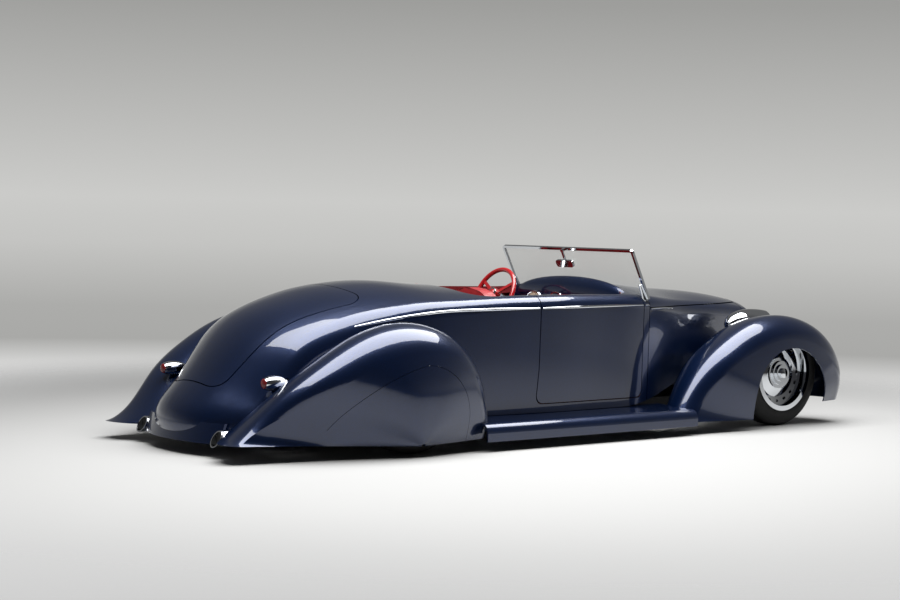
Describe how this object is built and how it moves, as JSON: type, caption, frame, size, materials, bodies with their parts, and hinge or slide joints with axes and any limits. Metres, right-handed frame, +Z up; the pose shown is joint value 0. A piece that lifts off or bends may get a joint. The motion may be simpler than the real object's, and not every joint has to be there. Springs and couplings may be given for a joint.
{
  "type": "hot rod",
  "caption": "Low open hot rod with a long rounded tail, teardrop fenders, skirted rear wheels and a raked windshield; wheels, steering, doors, hood and deck lid move.",
  "frame": {"origin": "on the ground, at the middle of the car's length and width", "axes": "+X forward, +Y to the driver's left, +Z up"},
  "size_m": [4.4605, 1.8472, 1.0803],
  "materials": {
    "paint": "deep blue metallic with a glossy clear coat",
    "chrome": "polished plating",
    "tyre": "matt black rubber",
    "clear_glass": "clear",
    "red_glass": "red moulded",
    "leather": "red, semi-gloss",
    "red_rim": "red, glossy",
    "steel": "black satin"
  },
  "bodies": {
    "chassis": {"body_shell": "paint", "chassis_frame": "steel", "dashboard": "paint", "engine_block": "steel", "exhaust_left": "chrome", "exhaust_right": "chrome", "fender_skirt_left": "paint", "fender_skirt_right": "paint", "front_axle": "steel", "front_fender_left": "paint", "front_fender_right": "paint", "fuel_tank": "steel", "grille_bars": "chrome", "grille_shell": "paint", "headlamp_left": "chrome", "headlamp_lens_left": "clear_glass", "headlamp_lens_right": "clear_glass", "headlamp_right": "chrome", "hood_side_left": "paint", "hood_side_right": "paint", "mirror": "chrome", "rear_axle": "steel", "rear_fender_left": "paint", "rear_fender_right": "paint", "rear_pan": "paint", "running_board_left": "paint", "running_board_right": "paint", "seat_back": "leather", "seat_cushion": "leather", "steering_column": "chrome", "taillamp_left": "chrome", "taillamp_lens_left": "red_glass", "taillamp_lens_right": "red_glass", "taillamp_right": "chrome", "windshield_frame": "chrome", "windshield_glass": "clear_glass"},
    "door_left": {"door_left": "paint"},
    "door_right": {"door_right": "paint"},
    "deck_lid": {"deck_lid": "paint"},
    "hood": {"hood_top": "paint"},
    "knuckle_left": {"knuckle_left": "steel"},
    "knuckle_right": {"knuckle_right": "steel"},
    "tie_rod": {"tie_rod": "steel"},
    "steering_wheel": {"steering_wheel": "red_rim"},
    "wheel_front_left": {"wheel_front_left": "chrome", "tyre_front_left": "tyre"},
    "wheel_front_right": {"wheel_front_right": "chrome", "tyre_front_right": "tyre"},
    "wheel_rear_left": {"wheel_rear_left": "chrome", "tyre_rear_left": "tyre"},
    "wheel_rear_right": {"wheel_rear_right": "chrome", "tyre_rear_right": "tyre"}
  },
  "joints": [
    {"name": "steer_left", "type": "hinge", "parent": "chassis", "child": "knuckle_left", "pos_m": [1.7025, 0.6, 0.325], "axis": [0, 0, 1], "range_deg": [-25, 25]},
    {"name": "steer_right", "type": "hinge", "parent": "chassis", "child": "knuckle_right", "pos_m": [1.7025, -0.6, 0.325], "axis": [0, 0, 1], "range_deg": [-25, 25]},
    {"name": "tie_rod_pin", "type": "hinge", "parent": "knuckle_left", "child": "tie_rod", "pos_m": [1.5725, 0.6, 0.241], "axis": [0, 0, 1], "range_deg": [-25, 25]},
    {"name": "steering_wheel_turn", "type": "hinge", "parent": "chassis", "child": "steering_wheel", "pos_m": [0.266, 0.33, 0.779], "axis": [0.9063, 0, -0.4226], "range_deg": [-350, 350]},
    {"name": "door_left_hinge", "type": "hinge", "parent": "chassis", "child": "door_left", "pos_m": [0.642, 0.594, 0.5], "axis": [0, 0, -1], "range_deg": [0, 65]},
    {"name": "door_right_hinge", "type": "hinge", "parent": "chassis", "child": "door_right", "pos_m": [0.642, -0.594, 0.5], "axis": [0, 0, 1], "range_deg": [0, 65]},
    {"name": "deck_lid_hinge", "type": "hinge", "parent": "chassis", "child": "deck_lid", "pos_m": [-1.2645, 0, 0.852], "axis": [0, 1, 0], "range_deg": [0, 60]},
    {"name": "hood_hinge", "type": "hinge", "parent": "chassis", "child": "hood", "pos_m": [0.708, 0, 0.866], "axis": [0, -1, 0], "range_deg": [0, 55]},
    {"name": "wheel_front_left_spin", "type": "hinge", "parent": "knuckle_left", "child": "wheel_front_left", "pos_m": [1.7025, 0.68, 0.325], "axis": [0, 1, 0], "continuous": true},
    {"name": "wheel_rear_left_spin", "type": "hinge", "parent": "chassis", "child": "wheel_rear_left", "pos_m": [-1.1425, 0.672, 0.325], "axis": [0, 1, 0], "continuous": true},
    {"name": "wheel_front_right_spin", "type": "hinge", "parent": "knuckle_right", "child": "wheel_front_right", "pos_m": [1.7025, -0.68, 0.325], "axis": [0, 1, 0], "continuous": true},
    {"name": "wheel_rear_right_spin", "type": "hinge", "parent": "chassis", "child": "wheel_rear_right", "pos_m": [-1.1425, -0.672, 0.325], "axis": [0, 1, 0], "continuous": true}
  ],
  "couplings": [
    {"joint": "steer_right", "follows": "steer_left", "ratio": 1},
    {"joint": "tie_rod_pin", "follows": "steer_left", "ratio": -1},
    {"joint": "steering_wheel_turn", "follows": "steer_left", "ratio": -14}
  ]
}
